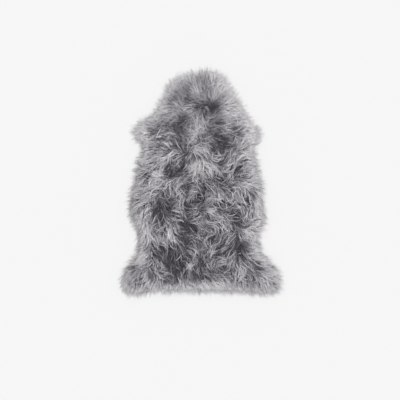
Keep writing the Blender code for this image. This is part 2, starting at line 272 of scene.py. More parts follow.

# Soft patches of painted light, coloured paler, and of painted shade, coloured darker where the shade is
# below 0:
# the middle and the reach of each, in millimetres, and how much it adds to the wool's shade.
SHADES = table(
    "Shade",
    "x y reach shade",
    crown_top=(-2, 438, 36, -0.4),
    crown=(44, 406, 20, 0.3),
    brow_left=(-50, 372, 34, -0.38),
    brow_edge=(-88, 362, 26, 0.36),
    brow=(24, 358, 28, -0.42),
    poll_left=(-40, 330, 26, -0.38),
    poll_edge=(-65, 340, 20, 0.48),
    poll=(19, 314, 28, 0.48),
    cheek_left=(-120, 308, 28, -0.52),
    parting=(-2, 262, 46, -0.36),
    throat=(-60, 242, 29, -0.7),
    withers_left=(-104, 252, 26, 0.8),
    shoulder_left=(-190, 214, 26, -0.36),
    foreleg_left_top=(-268, 214, 26, 0.74),
    foreleg_left=(-240, 166, 36, 0.72),
    scapula_left=(-155, 148, 34, -0.46),
    hook=(84, 238, 30, -0.4),
    foreleg_right=(218, 192, 50, 0.6),
    shoulder_right=(97, 210, 24, 0.76),
    shoulder_right_low=(128, 204, 20, -0.42),
    nape=(10, 217, 20, 0.55),
    spine=(8, 170, 22, -0.66),
    withers=(-16, 134, 34, 0.22),
    sweep=(114, 94, 28, 0.26),
    ribs_right_top=(172, 84, 32, 0.3),
    ribs_left_top=(-178, 98, 22, -0.5),
    ribs_left=(-152, 70, 28, 0.3),
    saddle=(1, 32, 20, 0.68),
    saddle_right=(76, 64, 24, -0.44),
    side_left_rim=(-254, 28, 34, -0.36),
    side_left_in=(-223, 4, 24, 0.56),
    side_right=(196, 16, 28, 0.56),
    midriff_left=(-162, 0, 24, 0.8),
    hollow_left=(-84, 2, 20, 0.56),
    loin_top=(16, -8, 20, -0.52),
    loin_right=(76, -2, 18, -0.36),
    midriff_right=(126, -26, 28, -0.46),
    side_left_out=(-222, -42, 32, -0.46),
    belly_left_top=(-146, -44, 28, -0.68),
    loin_left=(-80, -70, 32, 0.3),
    navel=(36, -84, 22, 0.62),
    navel_left=(10, -118, 30, -0.6),
    belly_right=(156, -66, 28, 0.48),
    belly_right_top=(118, -93, 22, -0.68),
    belly_right_low=(78, -120, 24, -0.36),
    belly_left_low=(-212, -141, 24, 0.52),
    hip_left_top=(-156, -162, 28, -0.68),
    hip_left_rim=(-268, -166, 28, 0.56),
    croup_right=(76, -181, 20, 0.84),
    croup_low=(4, -206, 22, -0.38),
    flank_right=(124, -182, 24, -0.34),
    hip_right=(214, -170, 44, 0.38),
    crease_left=(-84, -206, 26, -0.24),
    hip_left=(-167, -237, 26, 0.5),
    rump_left=(-114, -250, 26, -0.44),
    waist_right=(206, -240, 36, 0.3),
    rump_right=(76, -270, 40, -0.42),
    thigh_right=(148, -314, 28, -0.48),
    foot_right_rim=(246, -340, 28, -0.46),
    dock=(0, -338, 42, -0.38),
    dock_left=(-84, -316, 32, -0.94),
    foot_left_rim=(-284, -334, 36, -0.52),
    foot_left=(-246, -368, 28, 0.4),
    shank_right=(212, -308, 26, 0.36),
    foot_right_in=(206, -366, 42, -0.4),
    tail_left=(-120, -390, 42, -0.32),
    tail=(-24, -396, 22, 0.26),
    tail_edge=(-34, -426, 26, -0.16),
    tail_right=(62, -401, 32, 0.44),
    shank_left=(-176, -424, 26, 0.3),
)

# The maps of the pile's height and lie.
CELL = 5 * MM
MARGIN = 60 * MM  # round the fleece
SETTLE = 9 * MM  # the blur that takes the single tufts out of the height map
LIE_BLUR = 9 * MM  # the blur that evens out the lie
RIM_STEP = 8 * MM  # the width of the rings in which the fleece's mean height is taken
COMB_SOFTNESS = 8 * MM  # how near a patch of the comb table rules alone
RIM_PULL = 0.8  # of the rim, straight outwards, against the comb's
RIM_LIE = 26 * MM  # the width along the rim that this pull reaches
SAME_HEIGHT = 0.1 * MM  # heights that differ by less are the same
SAME_POINT = 0.01 * MM  # points nearer than this are one
SLIVER = 0.001  # of a cell, which keeps a point at a map's far end inside its last cell

# The layers of wool. Lengths are in millimetres: the way between two locks' roots, a wisp's reach over the
# pelt and its width, and how far inside the hide's edge the roots lie. The heights of foot and crown are
# shares of the pile's. A wisp is a closed tube of three sides through its stations, which are shares of its
# length.
Layer = namedtuple("Layer", "seed spacing wisps reach width foot crown unruly tone least most stations")
DOWN = Layer(
    seed=5, spacing=7.6, wisps=2, reach=24, width=1.6, foot=0.5, crown=0.86, unruly=5.0, tone=0.0,
    least=1, most=math.inf, stations=(0.0, 0.5, 1.0),
)
LONG_WOOL = Layer(
    seed=11, spacing=7.3, wisps=4, reach=58, width=1.25, foot=0.45, crown=1.0, unruly=1.0, tone=0.0,
    least=1, most=math.inf, stations=(0.0, 0.3, 0.58, 0.82, 1.0),
)
RIM_WOOL = Layer(
    seed=23, spacing=4.0, wisps=3, reach=50, width=1.2, foot=0.2, crown=1.0, unruly=1.0, tone=0.04,
    least=0.5, most=11, stations=(0.0, 0.4, 0.75, 1.0),
)
LONG_WOOL_PARTS = ("wool_rump", "wool_loin", "wool_back", "wool_shoulder", "wool_neck")

# Where the roots are, and where the wool goes from there.
ROOT_STRAY = 0.4  # of the way between two roots: how far a root may lie from its even place
INWARD_SPREAD = 36 * MM  # how much further in the last of the rim's locks stand
INWARD_THINNING = 6.0  # over 1 leaves fewer of the rim's locks far in
TUFT_SEED = 3
TUFT_OUTSIDE = 10 * MM  # how far past the hide's edge a tuft's middle may lie
SWIRL_SEED = 17
SWIRL_SIZE = 17 * MM  # of the unruly places in the lie
SWIRL_TURN = math.radians(8)  # of the wool there
RIM_CALM = 46 * MM  # the width along the rim where the wool is less unruly
RIM_FREEDOM = 0.15  # of the wool's unruliness that is left at the hide's edge
ROOT_BACK = 0.5  # the share of its reach that a lock starts behind its place
REACH_SPREAD = 0.35  # how much the locks' reach differs
LEAN = 1.25  # over 1 stands a wisp up at its root and lays it over towards its tip
CRIMPS = 1.15  # waves along a lock
CURL_BACK = 0.7  # of its curl that a lock turns the other way at its root
GATHER_RISE = 1.5  # over 1 leans the locks together only near their tips
GATHER_FALL = 0.8  # under 1 draws a lock's wisps together early
RIM_LEAST, RIM_MOST = 0.3, 1.35  # of the overhang that the shortest and the longest rim wisps reach
RIM_THINNING = 2.2  # over 1 leaves fewer wisps far out

# How high the wisps lie.
TUFT_STEP = 1.0  # how far a tuft's front stands above its back, against its lift
CREST = 0.6  # the share of a wisp's length at which it is highest
LOWEST, HIGHEST = 0.68, 1.04  # shares of the pile's height that the lowest and the highest locks fill
DROOP_LATE = 4  # over 1 hangs only a wisp's tip down
STRAY_RISE = 0.4  # of a wisp's stray, up or down
FLOOR_GAP = 1.1 * MM  # between the floor and the middle line of the lowest wisps

# How thick they are.
WIDTH_RANGE = (0.75, 1.2)  # of the layer's width
RIM_FINENESS = 0.35  # how much finer the wisps are at the end of the overhang
THICKNESS = ((0.0, 0.3, 0.6, 0.82, 1.0), (0.9, 1.0, 0.88, 0.58, 0.0))  # of a wisp's width, along its length
FLATNESS = 0.62  # a wisp's thickness against its width
SIDES = 3  # of a wisp's tube

# How dark or pale they are.
FLANK_IN, FLANK_WIDTH = 78 * MM, 40 * MM  # where, inside the hide's edge, painted shade makes the wool darkest
# How much the wisps differ in shade: most at the rim and over the belly, and least at the neck.
SPREAD_INSIDE = ((-20 * MM, 14 * MM, 100 * MM), (3.4, 0.88, 1.0))  # by the distance inside the hide's edge
SPREAD_ALONG = (  # by the place along the pelt, from tail to neck
    (-430 * MM, -300 * MM, -180 * MM, -60 * MM, 40 * MM, 120 * MM, 240 * MM, 420 * MM),
    (0.85, 1.05, 1.4, 1.55, 1.5, 1.2, 0.62, 0.4),
)
HOLLOW_DEPTH = 10 * MM  # for which the painted shade of the hollows is given
LEAST_SHADE = -0.3  # the least shade of the wool in a hollow, its painted shade included, before its wisps differ
SHADE_CARRY = 0.45  # how far a wisp keeps the shade of its middle all along
MIDDLE_TONE = 0.4  # the shade at which the wool has its middle colour
WISP_LIGHT = ((0.0, 0.42), (0.5, 0.84), (1.0, 1.0))  # painted shade: how much of its colour a wisp shows along its length, darker towards its shaded root

UV_MAP = "OFBake"
MAP_WIDTH = 0.012  # of a wisp on the map, whose whole width is all the tones
CAP_REACH = 0.01  # how far up the map a corner of a root's cap is moved, so that the cap has some area there

# The hide.
HIDE_SHARP = math.radians(40)  # edges that turn by more are drawn sharp
SUEDE_LIGHT = ((0.3, 0.82), (0.55, 1.0), (0.75, 1.1))  # how much of its colour it shows, along its clouds

# The undercoat.
COAT_CELL = 8 * MM  # of its grid
COAT_REACH = 5 * MM  # past the hide's edge
COAT_SNAP = 0.35  # of a cell: a point of the grid nearer the coat's edge than this is left out
COAT_GAP = 0.4 * MM  # over the hide
COAT_LEAST = 1.5 * MM  # its thickness at its edge
COAT_SLOPE = 40 * MM  # the width over which it rises to its full height
COAT_LIGHT = ((0.3, 0.4), (0.7, 1.0))  # how much of the dark colour it shows, along its noise
COAT_FADE = (60 * MM, 260 * MM)  # along the pelt, where its painted shade grows paler towards the neck
COAT_PALE = 0.6  # its shade at the neck, against the wool's middle colour

# The floor and the overhead light.
FLOOR_REACH = 40.0  # so far that its end lies beyond the view, from low down too
FLOOR_DROP = 0.2 * MM  # under the hide, so that the two don't share a plane
SUN_SIZE = math.radians(38)  # as seen from the rug: wide, for soft shadows
SUN_TURN = (math.radians(-8), math.radians(10), 0.0)  # from straight down


# The maps of the pile, read from the frame.


class PileMap:
    """The fleece on an even grid: its height, how far each point lies inside the hide's edge, and the lie."""

    def __init__(self):
        self.low = np.array([FLEECE_LOW.x, FLEECE_LOW.y]) - MARGIN
        high = np.array([FLEECE_HIGH.x, FLEECE_HIGH.y]) + MARGIN
        columns, rows = np.ceil((high - self.low) / CELL).astype(int) + 1
        self.x = self.low[0] + np.arange(columns) * CELL
        self.y = self.low[1] + np.arange(rows) * CELL
        self.edge = hide_edge()
        self.height = blurred(self.fleece_height(), SETTLE)
        gx, gy = np.meshgrid(self.x, self.y)
        points = np.column_stack([gx.ravel(), gy.ravel()])
        self.inside = distance_inside(points, self.edge).reshape(gx.shape)
        self.relief = self.height - self.usual_height()
        self.out_x, self.out_y = self.way_out()
        self.swirl = soft_noise(np.random.default_rng(SWIRL_SEED), gx.shape, SWIRL_SIZE)
        self.shade = self.painted_patch_map(gx, gy)
        self.lie_x, self.lie_y = self.combed(gx, gy)

    def fleece_height(self):
        """The height of the fleece's top over each point of the grid."""
        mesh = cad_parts["fleece"].data
        tree = BVHTree.FromPolygons([v.co for v in mesh.vertices], [p.vertices for p in mesh.polygons])
        height = np.zeros((len(self.y), len(self.x)))
        above = FLEECE_HIGH.z + 1.0
        for row, y in enumerate(self.y):
            for column, x in enumerate(self.x):
                hit = tree.ray_cast(Vector((x, y, above)), Vector((0, 0, -1)))[0]
                height[row, column] = hit.z if hit else 0.0
        return height

    def usual_height(self):
        """The mean height of the fleece at each point's distance from the hide's edge."""
        steps = np.arange(self.inside.min(), self.inside.max() + RIM_STEP, RIM_STEP)
        ring = np.digitize(self.inside, steps)
        found = [k for k in range(1, len(steps)) if (ring == k).any()]
        middles = [steps[k] - RIM_STEP / 2 for k in found]
        means = [self.height[ring == k].mean() for k in found]
        return np.interp(self.inside, middles, means)

    def way_out(self):
        """The direction straight out to the rim."""
        down_y, down_x = np.gradient(-blurred(self.inside, 2 * SETTLE))
        return unit(down_x, down_y)

    def painted_patch_map(self, gx, gy):
        """The painted light and painted shade of the soft patches: how much paler or darker the wool is
        coloured there.
        """
        total = np.zeros_like(gx)
        for patch in SHADES.values():
            away = np.hypot(gx - patch.x * MM, gy - patch.y * MM)
            total += patch.shade * np.exp(-((away / (patch.reach * MM)) ** 2))
        return total

    def combed(self, gx, gy):
        """The way the wool's tips point: as the comb's nearest patches say, and outwards along the rim."""
        total = np.zeros_like(gx)
        lie_x, lie_y = np.zeros_like(gx), np.zeros_like(gx)
        for patch in COMB.values():
            away = np.hypot(gx - patch.x * MM, gy - patch.y * MM)
            weight = 1 / (away**2 + COMB_SOFTNESS**2) ** 2
            total += weight
            lie_x += weight * math.cos(math.radians(patch.heading))
            lie_y += weight * math.sin(math.radians(patch.heading))
        rim = RIM_PULL * np.exp(-np.clip(self.inside, 0, None) ** 2 / RIM_LIE**2)
        lie_x = blurred(lie_x / total + rim * self.out_x, LIE_BLUR)
        lie_y = blurred(lie_y / total + rim * self.out_y, LIE_BLUR)
        return unit(lie_x, lie_y)

    def read(self, grid, x, y):
        """The value of one of the maps at each point."""
        column = np.clip((x - self.low[0]) / CELL, 0, len(self.x) - 1 - SLIVER)
        row = np.clip((y - self.low[1]) / CELL, 0, len(self.y) - 1 - SLIVER)
        c, r = column.astype(int), row.astype(int)
        u, v = column - c, row - r
        low = grid[r, c] * (1 - u) + grid[r, c + 1] * u
        high = grid[r + 1, c] * (1 - u) + grid[r + 1, c + 1] * u
        return low * (1 - v) + high * v


@functools.cache
def pile_map():
    """The pile's maps, worked out once."""
    return PileMap()


def unit(x, y):
    size = np.maximum(np.hypot(x, y), TINY)
    return x / size, y / size


def blurred(grid, width):
    """The grid smoothed with a bell curve of that width."""
    reach = int(math.ceil(3 * width / CELL))
    steps = np.arange(-reach, reach + 1) * CELL
    bell = np.exp(-(steps**2) / (2 * width**2))
    bell /= bell.sum()
    wide = np.pad(grid, reach, mode="edge")
    for axis in (0, 1):
        wide = np.apply_along_axis(lambda line: np.convolve(line, bell, mode="valid"), axis, wide)
    return wide


def soft_noise(chance, shape, size):
    """Even random unevenness of that size, with a spread of 1."""
    grid = blurred(chance.normal(0.0, 1.0, shape), size)
    return grid / grid.std()


def hide_edge():
    """The hide's cut edge, as points in order round it."""
    shape = bmesh.new()
    shape.from_mesh(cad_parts["hide"].data)
    bmesh.ops.remove_doubles(shape, verts=shape.verts, dist=SAME_POINT)
    above = [f for f in shape.faces if f.calc_center_median().z > SAME_HEIGHT]
    bmesh.ops.delete(shape, geom=above, context="FACES")
    edges = [e for e in shape.edges if e.is_boundary]
    first = edges[0].verts[0]
    ring, at, came = [], first, None
    while True:
        ring.append((at.co.x, at.co.y))
        onward = [e for e in at.link_edges if e.is_boundary and e is not came][0]
        at, came = onward.other_vert(at), onward
        if at is first:
            break
    shape.free()
    return np.array(ring)


def distance_inside(points, ring):
    """How far each point lies inside the closed ring, or, if it lies outside, minus that distance."""
    start, end = ring, np.roll(ring, -1, axis=0)
    shortest = np.full(len(points), np.inf)
    crossings = np.zeros(len(points), int)
    for a, b in zip(start, end):
        d = b - a
        foot = np.clip(((points - a) @ d) / max(d @ d, TINY), 0, 1)
        shortest = np.minimum(shortest, np.hypot(*(points - a - foot[:, None] * d).T))
        spans = (a[1] > points[:, 1]) != (b[1] > points[:, 1])
        rise = d[1] if abs(d[1]) > TINY else TINY
        crossings += spans & (points[:, 0] < a[0] + (points[:, 1] - a[1]) * d[0] / rise)
    return np.where(crossings % 2 == 1, shortest, -shortest)


# Materials.


def fill_inputs(tree, node, inputs):
    """Sets each named input of a node to a value, or links it to another node's output."""
    for name, value in inputs.items():
        if isinstance(value, bpy.types.NodeSocket):
            tree.links.new(value, node.inputs[name])
        else:
            node.inputs[name].default_value = value


def add_node(tree, kind, inputs=None, **values):
    node = tree.nodes.new(kind)
    for name, value in values.items():
        setattr(node, name, value)
    fill_inputs(tree, node, inputs or {})
    return node


def new_material(name, roughness, sheen, specular=0.25):
    made = bpy.data.materials.new(name)
    made.use_nodes = True
    shader = made.node_tree.nodes["Principled BSDF"]
    finish = {
        "Roughness": roughness,
        "Sheen Weight": sheen,
        "Sheen Roughness": 0.5,
        "Specular IOR Level": specular,
    }
    fill_inputs(made.node_tree, shader, finish)
    return made, made.node_tree, shader


def ramp(tree, fac, stops):
    """A colour ramp through (place, colour) stops."""
    node = add_node(tree, "ShaderNodeValToRGB", {"Fac": fac})
    elements = node.color_ramp.elements
    while len(elements) < len(stops):
        elements.new(0.5)
    for element, (place, tint) in zip(elements, stops):
        element.position = place
        element.color = (*tint, 1.0)
    return node.outputs["Color"]


def lit(colour, lights):
    """The stops of a ramp that shows more or less of one colour: lights holds (place, light) pairs."""
    return [(place, Vector(colour) * light) for place, light in lights]


def noise(tree, scale, detail):
    """Noise on the piece's own coordinates."""
    place = add_node(tree, "ShaderNodeTexCoord").outputs["Object"]
    inputs = {"Vector": place, "Scale": scale, "Detail": detail}
    return add_node(tree, "ShaderNodeTexNoise", inputs).outputs["Fac"]


def bump(tree, height, strength, distance):
    relief = {"Height": height, "Strength": strength, "Distance": distance}
    return add_node(tree, "ShaderNodeBump", relief).outputs["Normal"]


def wool_material(settings):
    """Dyed wool, with painted light and shade in its colour. Across the map a wisp is darker or lighter, by
    its own tone and by painted light and shade, and up the map it goes from a root darkened by painted shade
    to its tip.
    """
    if "dyed_wool_and_painted_light" in bpy.data.materials:
        return bpy.data.materials["dyed_wool_and_painted_light"]
    made, tree, shader = new_material("dyed_wool_and_painted_light", roughness=0.62, sheen=0.15)
    spot = add_node(tree, "ShaderNodeUVMap", uv_map=UV_MAP)
    split = add_node(tree, "ShaderNodeSeparateXYZ", {"Vector": spot.outputs["UV"]})
    tones = [(0.0, settings.dark_colour), (MIDDLE_TONE, settings.middle_colour), (1.0, settings.pale_colour)]
    across = ramp(tree, split.outputs["X"], tones)
    # painted shade along each wisp, darkest at its root
    along = ramp(tree, split.outputs["Y"], lit((1.0, 1.0, 1.0), WISP_LIGHT))
    layers = {"Factor": 1.0, "A": across, "B": along}
    mix = add_node(tree, "ShaderNodeMix", layers, data_type="RGBA", blend_type="MULTIPLY")
    fill_inputs(tree, shader, {"Base Color": mix.outputs["Result"]})
    return made


def undercoat_material(settings):
    """The dense, short wool at the foot of the pile, matted and coloured dark as painted shade of the pile's
    depth, and paler towards the neck.
    """
    made, tree, shader = new_material("wool_undercoat_painted_shade", roughness=0.9, sheen=0.2)
    mat = noise(tree, scale=160.0, detail=5.0)
    # painted shade: the undercoat takes the dark colour for the shade deep in the pile
    tint = ramp(tree, mat, lit(settings.dark_colour, COAT_LIGHT))
    place = add_node(tree, "ShaderNodeTexCoord").outputs["Object"]
    split = add_node(tree, "ShaderNodeSeparateXYZ", {"Vector": place})
    along = {"Value": split.outputs["Y"], "From Min": COAT_FADE[0], "From Max": COAT_FADE[1]}
    fade = add_node(tree, "ShaderNodeMapRange", along)
    pale = (*(Vector(settings.middle_colour) * COAT_PALE), 1.0)
    layers = {"Factor": fade.outputs["Result"], "A": tint, "B": pale}
    mix = add_node(tree, "ShaderNodeMix", layers, data_type="RGBA")
    relief = bump(tree, mat, strength=0.8, distance=2 * MM)
    fill_inputs(tree, shader, {"Base Color": mix.outputs["Result"], "Normal": relief})
    return made


def suede_material(settings):
    """The flesh side of the tanned skin: pale suede with a fine nap and faint cloudy patches."""
    made, tree, shader = new_material("suede", roughness=0.88, sheen=0.5)
    cloud = noise(tree, scale=14.0, detail=4.0)
    nap = noise(tree, scale=900.0, detail=3.0)
    tint = ramp(tree, cloud, lit(settings.suede_colour, SUEDE_LIGHT))
    relief = bump(tree, nap, strength=0.35, distance=0.4 * MM)
    fill_inputs(tree, shader, {"Base Color": tint, "Normal": relief})
    return made


def floor_material(settings):
    made, tree, shader = new_material("floor_paint", roughness=0.9, sheen=0.0, specular=0.0)
    fill_inputs(tree, shader, {"Base Color": (*settings.floor_colour, 1.0)})
    return made


# Pieces.


def extruded(shape, faces):
    """Extrudes the faces, which stay where they are, and returns the new vertices."""
    made = bmesh.ops.extrude_face_region(shape, geom=faces, use_keep_orig=True)
    return [item for item in made["geom"] if isinstance(item, bmesh.types.BMVert)]


def new_mesh(name, shape):
    """The mesh of a finished bmesh, which is freed."""
    mesh = bpy.data.meshes.new(name)
    shape.to_mesh(mesh)
    shape.free()
    return mesh


def smooth_mesh(name, shape):
    """The smooth mesh of a finished closed bmesh, which is freed."""
    bmesh.ops.triangulate(shape, faces=shape.faces)
    bmesh.ops.recalc_face_normals(shape, faces=shape.faces)
    mesh = new_mesh(name, shape)
    mesh.shade_smooth()
    return mesh


def add_object(name, data):
    made = bpy.data.objects.new(name, data)
    bpy.context.scene.collection.objects.link(made)
    return made


def add_piece(name, mesh, material, node):
    """Puts a finished mesh in the scene as a piece that rides on the rug and replaces a node of the frame."""
    mesh.materials.append(material)
    piece = add_object(name, mesh)
    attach(piece, BODY)
    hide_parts(node)
    return piece


def scattered(chance, pile, spacing, least, most=math.inf):
    """Even but unruly points over the pelt, from least to most inside the hide's edge.

    Where most is finite, a few points stand further in.
    """
    row_pitch = spacing * math.sqrt(3) / 2
    rows = np.arange(pile.edge[:, 1].min(), pile.edge[:, 1].max(), row_pitch)
    columns = np.arange(pile.edge[:, 0].min(), pile.edge[:, 0].max(), spacing)
    x, y = np.meshgrid(columns, rows)
    x = x + 0.5 * spacing * (np.arange(len(rows))[:, None] % 2)
    x = x.ravel() + chance.uniform(-ROOT_STRAY, ROOT_STRAY, x.size) * spacing
    y = y.ravel() + chance.uniform(-ROOT_STRAY, ROOT_STRAY, y.size) * spacing
    inside = pile.read(pile.inside, x, y)
    if math.isfinite(most):
        most = most + INWARD_SPREAD * chance.uniform(0.0, 1.0, x.size) ** INWARD_THINNING
    kept = (inside > least) & (inside < most)
    return x[kept], y[kept]


def wool_mesh(name, stations, centres, widths, tones):
    """Closed three-sided tapering tubes along the centrelines, with the map that their colour is read from.

    centres holds one row of points for each wisp, in metres, at the stations, which are shares of its length.
    tones, from 0 for the darkest wool to 1 for the palest, has a row for each wisp too.
    """
    count = len(centres)
    ringed = len(stations) - 1
    each = ringed * SIDES + 1
    along = np.gradient(centres, axis=1)
    along /= np.linalg.norm(along, axis=2, keepdims=True) + TINY
    side = np.cross(along, [0.0, 0.0, 1.0])
    side /= np.linalg.norm(side, axis=2, keepdims=True) + TINY
    over = np.cross(side, along)
    thickness = np.interp(stations[:-1], *THICKNESS)
    radius = (0.5 * widths[:, None] * thickness[None, :])[:, :, None]
    rings = []
    for k in range(SIDES):
        turn = math.tau * k / SIDES + math.pi / 2
        offset = side * math.cos(turn) + over * math.sin(turn) * FLATNESS
        rings.append(centres[:, :ringed] + radius * offset[:, :ringed])
    rings = np.stack(rings, axis=2).reshape(count, ringed * SIDES, 3)
    points = np.concatenate([rings, centres[:, -1:]], axis=1)

    # The faces of one wisp, each with its corners' places on the map: round the wisp, and at which station.
    faces, round_it, at = [], [], []
    for ring in range(ringed):
        for k in range(SIDES):
            a, b = ring * SIDES + k, ring * SIDES + (k + 1) % SIDES
            if ring < ringed - 1:
                faces.append([a, b, b + SIDES, a + SIDES])
                round_it += [k, k + 1, k + 1, k]
                at += [ring, ring, ring + 1, ring + 1]
            else:
                faces.append([a, b, each - 1])
                round_it += [k, k + 1, k + 0.5]
                at += [ring, ring, ringed]
    faces.append(list(range(SIDES))[::-1])
    round_it += [2, 1, 0]
    at += [0] * SIDES
    along_map = np.array(stations)[at]
    along_map[-2] += CAP_REACH

    corners = np.concatenate([np.array(face) for face in faces])
    loops = (corners[None, :] + each * np.arange(count)[:, None]).ravel()
    sizes = np.tile([len(face) for face in faces], count)
    starts = np.concatenate([[0], np.cumsum(sizes)[:-1]])
    u = np.clip(tones, 0.0, 1.0)[:, at] * (1 - MAP_WIDTH) + np.array(round_it) * MAP_WIDTH / SIDES
    v = np.broadcast_to(along_map, u.shape)

    mesh = bpy.data.meshes.new(name)
    mesh.vertices.add(len(points) * each)
    mesh.vertices.foreach_set("co", points.astype(np.float32).ravel())
    mesh.loops.add(len(loops))
    mesh.loops.foreach_set("vertex_index", loops.astype(np.int32))
    mesh.polygons.add(len(sizes))
    mesh.polygons.foreach_set("loop_start", starts.astype(np.int32))
    mesh.polygons.foreach_set("use_smooth", np.ones(len(sizes), bool))
    layer = mesh.uv_layers.new(name=UV_MAP)
    layer.data.foreach_set("uv", np.stack([u, v], axis=2).astype(np.float32).ravel())
    mesh.update(calc_edges=True)
    mesh.validate()
    return mesh


class Wool:
    """Grows one layer of wool on the pelt. Wisps make locks, and locks lean together into tufts."""

    def __init__(self, pile, settings, layer):
        self.pile = pile
        self.settings = settings
        self.layer = layer
        self.chance = np.random.default_rng(layer.seed)
        self.stations = np.array(layer.stations)

    def grow(self):
        """The wisps' centrelines, widths and tones."""
        settings, layer, chance = self.settings, self.layer, self.chance
        x, y = scattered(chance, self.pile, layer.spacing * MM, layer.least * MM, layer.most * MM)
        line, lift, tone = self.locks(x, y)
        level = chance.uniform(0.0, 1.0, len(x))
        tone += self.shade_spread(x, y) * settings.lock_tone * chance.normal(0.0, 1.0, len(x))
        # painted shade: lower locks coloured darker, the top of the pile paler
        tone += settings.depth_painted_shade * (level - 0.5)
        tone *= np.minimum(np.interp(y, *SPREAD_ALONG), 1.0)
        line, lift, tone, level = (np.repeat(a, layer.wisps, axis=0) for a in (line, lift, tone, level))
        x, y = self.kept_in(*self.spread(line))
        return self.raised(x, y, lift, level), self.widths(x, y), self.tones(x, y, tone)

    def locks(self, x, y):
        """The line of each lock over the pelt, from its root, and how its tuft differs in height and tone."""
        pile, chance, settings, layer = self.pile, self.chance, self.settings, self.layer
        tufts = np.random.default_rng(TUFT_SEED)
        tuft_x, tuft_y = scattered(tufts, pile, settings.tuft_spacing, -TUFT_OUTSIDE)
        turn, bend, lift, tone = tufts.normal(0.0, 1.0, (4, len(tuft_x)))
        near = nearest(x, y, tuft_x, tuft_y)
        inside = pile.read(pile.inside, x, y)
        inland = np.clip(inside / RIM_CALM, 0.0, 1.0)
        free = np.maximum(inland, RIM_FREEDOM)
        heading = self.heading(x, y)
        away_x, away_y = x - tuft_x[near], y - tuft_y[near]
        front = (away_x * np.cos(heading) + away_y * np.sin(heading)) / settings.tuft_spacing
        own_turn, own_bend = chance.normal(0.0, 1.0, (2, len(x)))
        unruly = settings.tuft_turn * turn[near] + settings.lock_turn * layer.unruly * own_turn
        unruly = free * (unruly + SWIRL_TURN * pile.read(pile.swirl, x, y))
        curl = free * (settings.tuft_bend * bend[near] + settings.lock_bend * own_bend)
        reach = layer.reach * MM * (1 + REACH_SPREAD * chance.uniform(-1, 1, len(x)))
        wave = chance.uniform(0, math.tau, len(x))
        back = ROOT_BACK * reach * inland
        line_x, line_y = [x - back * np.cos(heading)], [y - back * np.sin(heading)]
        for low, high in zip(self.stations[:-1], self.stations[1:]):
            middle = (low + high) / 2
            way = halfway(heading, self.heading(line_x[-1], line_y[-1]))
            way += unruly + curl * (2 * middle - CURL_BACK)
            ahead = reach * (high**LEAN - low**LEAN)
            sideways = settings.crimp * (high - low) * np.cos(wave + math.tau * CRIMPS * middle)
            line_x.append(line_x[-1] + ahead * np.cos(way) - sideways * np.sin(way))
            line_y.append(line_y[-1] + ahead * np.sin(way) + sideways * np.cos(way))
        gather = settings.tuft_gather * inland[:, None] * self.stations**GATHER_RISE
        line_x = np.stack(line_x, 1) - away_x[:, None] * gather
        line_y = np.stack(line_y, 1) - away_y[:, None] * gather
        # painted light and shade: a tuft's front coloured paler and its back darker, as in the shadow of the
        # tuft before
        tone = settings.tuft_tone * tone[near] + settings.tuft_painted_slope * front
        return np.stack([line_x, line_y], 2), lift[near] + TUFT_STEP * front, tone

    def heading(self, x, y):
        return np.arctan2(self.pile.read(self.pile.lie_y, x, y), self.pile.read(self.pile.lie_x, x, y))

    def spread(self, line):
        """The wisps of each lock, apart at the root and closer together at the tip."""
        chance, settings, stations = self.chance, self.settings, self.stations
        turn = chance.uniform(0, math.tau, len(line))
        off = settings.lock_width * np.sqrt(chance.uniform(0, 1, len(line)))
        apart = 1 - settings.lock_gather * stations**GATHER_FALL
        stray = settings.stray * stations * chance.normal(0, 1, (2, len(line), 1))
        x = line[:, :, 0] + (off * np.cos(turn))[:, None] * apart + stray[0]
        y = line[:, :, 1] + (off * np.sin(turn))[:, None] * apart + stray[1]
        return x, y

    def kept_in(self, x, y):
        """Draws in the wisps that would reach too far past the hide's edge. Few reach all the way."""
        root = self.pile.read(self.pile.inside, x[:, 0], y[:, 0])
        tip = self.pile.read(self.pile.inside, x[:, -1], y[:, -1])
        most = self.chance.uniform(0.0, 1.0, len(x)) ** RIM_THINNING
        limit = -OVERHANG * (RIM_LEAST + (RIM_MOST - RIM_LEAST) * most)
        kept = np.where(tip < limit, (root - limit) / np.maximum(root - tip, TINY), 1.0)[:, None]
        return x[:, :1] + (x - x[:, :1]) * kept, y[:, :1] + (y - y[:, :1]) * kept

    def raised(self, x, y, lift, level):
        """The wisps' points: they rise from the undercoat, lie over and hang at their tips."""
        pile, settings, layer = self.pile, self.settings, self.layer
        chance, stations = self.chance, self.stations
        rise = np.sin(np.minimum(stations / CREST, 1.0) * math.pi / 2)
        filled = LOWEST + (HIGHEST - LOWEST) * level + settings.tuft_lift * lift
        z = pile.read(pile.height, x, y) * (layer.foot + (layer.crown - layer.foot) * rise) * filled[:, None]
        z -= settings.droop * stations**DROOP_LATE * chance.uniform(0.0, 1.0, (len(x), 1))
        z += settings.stray * STRAY_RISE * stations * chance.normal(0, 1, (len(x), 1))
        return np.stack([x, y, np.maximum(z, FLOOR_GAP)], 2)

    def shade_spread(self, x, y):
        inside = self.pile.read(self.pile.inside, x, y)
        return np.interp(inside, *SPREAD_INSIDE) * np.interp(y, *SPREAD_ALONG)

    def widths(self, x, y):
        tip = self.pile.read(self.pile.inside, x[:, -1], y[:, -1])
        rim = np.clip(-tip / OVERHANG, 0.0, 1.0)
        return self.layer.width * MM * self.chance.uniform(*WIDTH_RANGE, len(x)) * (1 - RIM_FINENESS * rim)

